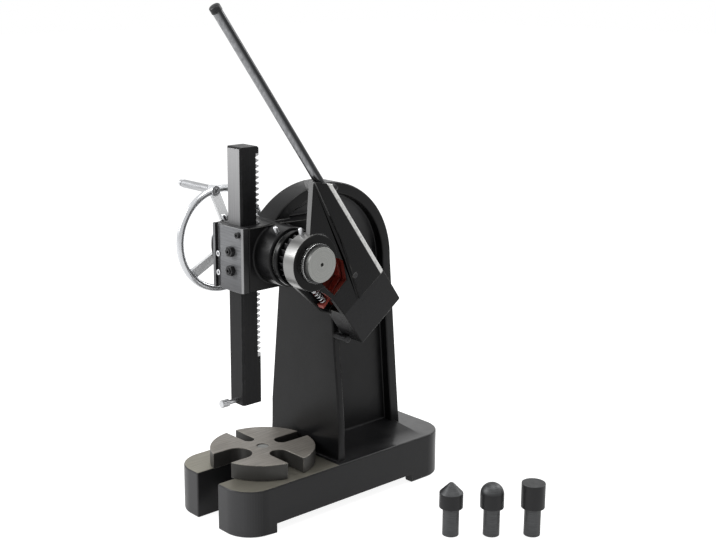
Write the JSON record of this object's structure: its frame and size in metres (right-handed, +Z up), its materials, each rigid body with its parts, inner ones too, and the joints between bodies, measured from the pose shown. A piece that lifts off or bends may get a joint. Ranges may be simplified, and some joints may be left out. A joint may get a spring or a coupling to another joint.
{
  "type": "ratchet arbor press",
  "caption": "Bench arbor press: a square rack ram driven down by a ratchet lever or a handwheel onto a slotted turning anvil plate, with loose pressing tips beside it.",
  "frame": {"origin": "where the ram's axis meets the bench plane, between the prongs of the base", "axes": "+X to the operator's right (lever side), +Y away from the operator (column side), +Z up along the ram"},
  "size_m": [0.6205, 0.5429, 0.8743],
  "materials": {
    "casting": "satin black",
    "cover": "grey",
    "plate": "machined",
    "ram": "ground",
    "shaft": "turned",
    "fastener": "bright",
    "dark_steel": "black oxide",
    "bronze": "turned",
    "chrome": "polished",
    "red": "red oxide",
    "tip": "black oxide"
  },
  "bodies": {
    "frame": {"base_feet": "casting", "base_casting": "casting", "frame_casting": "casting", "front_cover": "cover", "cover_screws": "fastener", "gib_strip": "bronze", "gib_screws": "dark_steel", "gib_nuts": "dark_steel", "cover_bolt": "dark_steel", "bush_right": "bronze", "bush_left": "bronze", "oil_cups": "fastener", "lever_stop": "dark_steel", "anvil_pin": "shaft", "thrust_washer": "shaft"},
    "pinion": {"pinion_shaft": "shaft", "ratchet_wheel": "dark_steel", "ratchet_key": "dark_steel", "handwheel": "chrome", "wheel_key": "dark_steel", "wheel_washer": "fastener", "wheel_screw": "fastener", "retaining_collar": "shaft", "collar_screw": "dark_steel", "grip_spindle": "fastener"},
    "ram": {"ram": "ram"},
    "thumbscrew": {"ram_thumbscrew": "fastener"},
    "lever": {"lever_body": "casting", "lever_rod": "chrome", "rod_cap": "dark_steel", "rod_screw": "dark_steel", "hub_oiler": "fastener", "pawl_pin": "dark_steel", "spring_seat": "dark_steel", "pawl_spring": "fastener"},
    "pawl": {"pawl": "red"},
    "grip": {"crank_grip": "chrome"},
    "anvil": {"anvil_plate": "plate"},
    "point_tip": {"pointed_tip": "tip"},
    "dome_tip": {"round_tip": "tip"},
    "level_tip": {"flat_tip": "tip"}
  },
  "joints": [
    {"name": "pinion_turn", "type": "hinge", "parent": "frame", "child": "pinion", "pos_m": [0, 0.0403, 0.461], "axis": [1, 0, 0], "range_deg": [-330, 195]},
    {"name": "ram_slide", "type": "slide", "parent": "frame", "child": "ram", "axis": [0, 0, -1], "range_m": [-0.13824, 0.08169]},
    {"name": "lever_swing", "type": "hinge", "parent": "frame", "child": "lever", "pos_m": [0.11, 0.0403, 0.461], "axis": [1, 0, 0], "range_deg": [0, 90]},
    {"name": "pawl_turn", "type": "hinge", "parent": "lever", "child": "pawl", "pos_m": [0.1022, 0.12648, 0.42699], "axis": [1, 0, 0], "range_deg": [0, 8]},
    {"name": "grip_turn", "type": "hinge", "parent": "pinion", "child": "grip", "pos_m": [-0.165, 0.02493, 0.54815], "axis": [1, 0, 0], "continuous": true},
    {"name": "plate_turn", "type": "hinge", "parent": "frame", "child": "anvil", "pos_m": [0, 0.036, 0.096], "axis": [0, 0, 1], "continuous": true},
    {"name": "thumbscrew_turn", "type": "hinge", "parent": "ram", "child": "thumbscrew", "pos_m": [0, -0.04, 0.2065], "axis": [0, 1, 0], "continuous": true},
    {"name": "point_tip_lift", "type": "slide", "parent": "frame", "child": "point_tip", "axis": [0, 0, 1], "range_m": [0, 0.15]},
    {"name": "dome_tip_lift", "type": "slide", "parent": "frame", "child": "dome_tip", "axis": [0, 0, 1], "range_m": [0, 0.15]},
    {"name": "level_tip_lift", "type": "slide", "parent": "frame", "child": "level_tip", "axis": [0, 0, 1], "range_m": [0, 0.15]}
  ],
  "couplings": [
    {"joint": "ram_slide", "follows": "pinion_turn", "m_per_rad": 0.024}
  ]
}
